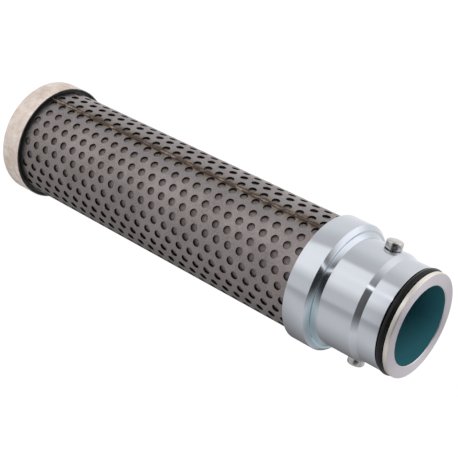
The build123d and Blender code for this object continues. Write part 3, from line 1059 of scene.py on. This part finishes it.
class FILTER_OT_stage(bpy.types.Operator):
    """Make the floor, the world, the lamps and the camera"""
    bl_idname = "filter.stage"
    bl_label = "Stage"

    def execute(self, context):
        scene = context.scene
        scene.view_settings.view_transform = "Standard"
        self.make_world(scene)
        self.make_floor(scene)
        self.make_camera(scene)
        self.make_tent(scene)
        middle = Vector((0, 0, 0.13))
        key = soft_lamp("key_lamp", 20, 30, 0.9, (0.45, 0.45), 8.0, (1.0, 0.99, 0.97), middle)
        fill = soft_lamp("fill_lamp", 130, 15, 0.9, (0.6, 0.6), 4.0, (1.0, 0.99, 0.98), middle)
        key.visible_glossy = False
        fill.visible_glossy = False
        return {"FINISHED"}

    def make_tent(self, scene):
        """Light tent that only reflections see: pale panels with a dark slot for the camera."""
        form = bmesh.new()
        bmesh.ops.create_uvsphere(form, u_segments=48, v_segments=24, radius=2.0)
        mesh = bpy.data.meshes.new("light_tent")
        form.to_mesh(mesh)
        form.free()
        tent = bpy.data.objects.new("light_tent", mesh)
        scene.collection.objects.link(tent)
        tent.visible_camera = False
        tent.visible_diffuse = False
        tent.visible_transmission = False
        tent.visible_shadow = False
        material = bpy.data.materials.new("tent_cloth")
        material.use_nodes = True
        material.node_tree.nodes.clear()
        tree = NodeTree(material.node_tree)
        place = tree.add("ShaderNodeTexCoord").outputs["Object"]
        way = tree.add("ShaderNodeVectorMath", {0: place}, operation="NORMALIZE").outputs["Vector"]
        facing = tree.add("ShaderNodeVectorMath", {0: way, 1: direction(*TENT_OPENING)},
                          operation="DOT_PRODUCT").outputs["Value"]
        parts = tree.add("ShaderNodeSeparateXYZ", {"Vector": way})
        azimuth = tree.math("ARCTAN2", parts.outputs["Y"], parts.outputs["X"])
        round_share = tree.spread(azimuth, -math.pi, math.pi)
        upper = self.panel_ramp(tree, round_share, UPPER_PANELS)
        lower = self.panel_ramp(tree, round_share, LOWER_PANELS)
        under = tree.spread(facing, -1.0, 0.0, 0.12, 0.7)
        over = tree.add("ShaderNodeMapRange", {"Value": parts.outputs["X"], "From Min": -0.52, "From Max": -0.22,
                                               "To Min": 0.0, "To Max": 1.0}, interpolation_type="SMOOTHSTEP")
        shade = tree.math("MAXIMUM", under, over.outputs["Result"])
        lower = tree.mix(1.0, lower, shade, "MULTIPLY")
        above = tree.add("ShaderNodeMapRange", {"Value": parts.outputs["Z"], "From Min": -0.1,
                                                "From Max": 0.22}, interpolation_type="SMOOTHSTEP")
        slot = tree.mix(above.outputs["Result"], lower, upper)
        level = tree.math("MULTIPLY", slot, 2.0)
        glow = tree.add("ShaderNodeEmission", {"Color": (1, 1, 1, 1), "Strength": level})
        output = tree.add("ShaderNodeOutputMaterial")
        tree.feed(output.inputs["Surface"], glow.outputs[0])
        mesh.materials.append(material)

    def panel_ramp(self, tree, share, panels):
        """Brightness of a row of panels, halved so that it fits a colour ramp."""
        ramp = tree.add("ShaderNodeValToRGB", {"Fac": share})
        stops = ramp.color_ramp.elements
        for degrees, grey in panels:
            stop = stops.new((degrees + 180) / 360)
            stop.color = (grey / 2, grey / 2, grey / 2, 1.0)
        stops.remove(stops[0])
        stops.remove(stops[-1])
        return ramp.outputs["Color"]

    def make_world(self, scene):
        world = bpy.data.worlds.new("studio_world")
        scene.world = world
        world.use_nodes = True
        tree = NodeTree(world.node_tree)
        light = tree.add("ShaderNodeLightPath")
        seen = tree.math("MAXIMUM", light.outputs["Is Camera Ray"], light.outputs["Is Glossy Ray"])
        seen = tree.math("MAXIMUM", seen, light.outputs["Is Transmission Ray"])
        strength = tree.spread(seen, 0.0, 1.0, 0.55, 1.0)
        background = world.node_tree.nodes["Background"]
        background.inputs["Color"].default_value = (1, 1, 1, 1)
        tree.feed(background.inputs["Strength"], strength)

    def make_floor(self, scene):
        form = bmesh.new()
        bmesh.ops.create_grid(form, x_segments=1, y_segments=1, size=4.0)
        mesh = bpy.data.meshes.new("floor")
        form.to_mesh(mesh)
        form.free()
        floor = bpy.data.objects.new("floor", mesh)
        scene.collection.objects.link(floor)
        floor.visible_glossy = False
        material, tree, shader = new_material("pale_floor")
        shader.inputs["Base Color"].default_value = (0.86, 0.86, 0.86, 1)
        shader.inputs["Roughness"].default_value = 0.9
        light = tree.add("ShaderNodeLightPath")
        seen = tree.math("MAXIMUM", light.outputs["Is Camera Ray"], light.outputs["Is Glossy Ray"])
        seen = tree.math("MAXIMUM", seen, light.outputs["Is Transmission Ray"])
        glow = tree.add("ShaderNodeEmission", {"Color": (1, 1, 1, 1), "Strength": 1.06})
        share = tree.math("MULTIPLY", seen, 0.9)
        mixed = tree.add("ShaderNodeMixShader", {0: share, 1: shader.outputs[0], 2: glow.outputs[0]})
        output = material.node_tree.nodes["Material Output"]
        tree.feed(output.inputs["Surface"], mixed.outputs[0])
        mesh.materials.append(material)

    def make_camera(self, scene):
        right, up, back = camera_axes()
        data = bpy.data.cameras.new("camera")
        data.lens = 89.2
        data.sensor_width = 36.0
        data.clip_start, data.clip_end = 0.01, 10.0
        camera = bpy.data.objects.new("camera", data)
        turn = Matrix((right, up, back)).transposed().to_4x4()
        camera.matrix_world = Matrix.Translation((0.155796, 0.43274, 0.435475)) @ turn
        scene.collection.objects.link(camera)
        scene.camera = camera


class FILTER_PT_panel(bpy.types.Panel):
    """Panel that lists the element's operators"""
    bl_label = "Filter Element"
    bl_idname = "FILTER_PT_panel"
    bl_space_type = "VIEW_3D"
    bl_region_type = "UI"
    bl_category = "Filter"

    def draw(self, context):
        for operator in OPERATORS:
            self.layout.operator(operator.bl_idname)


OPERATORS = (FILTER_OT_stage, FILTER_OT_fitting, FILTER_OT_seal, FILTER_OT_pins, FILTER_OT_cap,
             FILTER_OT_sleeve, FILTER_OT_tube, FILTER_OT_core, FILTER_OT_welds)
CLASSES = (FilterSizes, FilterColours) + OPERATORS + (FILTER_PT_panel,)


def register():
    for item in CLASSES:
        bpy.utils.register_class(item)
    bpy.types.Scene.filter_sizes = PointerProperty(type=FilterSizes)
    bpy.types.Scene.filter_colours = PointerProperty(type=FilterColours)


def unregister():
    del bpy.types.Scene.filter_colours
    del bpy.types.Scene.filter_sizes
    for item in reversed(CLASSES):
        bpy.utils.unregister_class(item)


def main():
    register()
    grain_group()
    turning_group()
    bpy.ops.filter.stage()
    bpy.ops.filter.fitting()
    bpy.ops.filter.seal()
    bpy.ops.filter.pins()
    bpy.ops.filter.cap()
    bpy.ops.filter.sleeve()
    bpy.ops.filter.tube()
    bpy.ops.filter.core()
    bpy.ops.filter.welds()


if __name__ == "__main__":
    main()
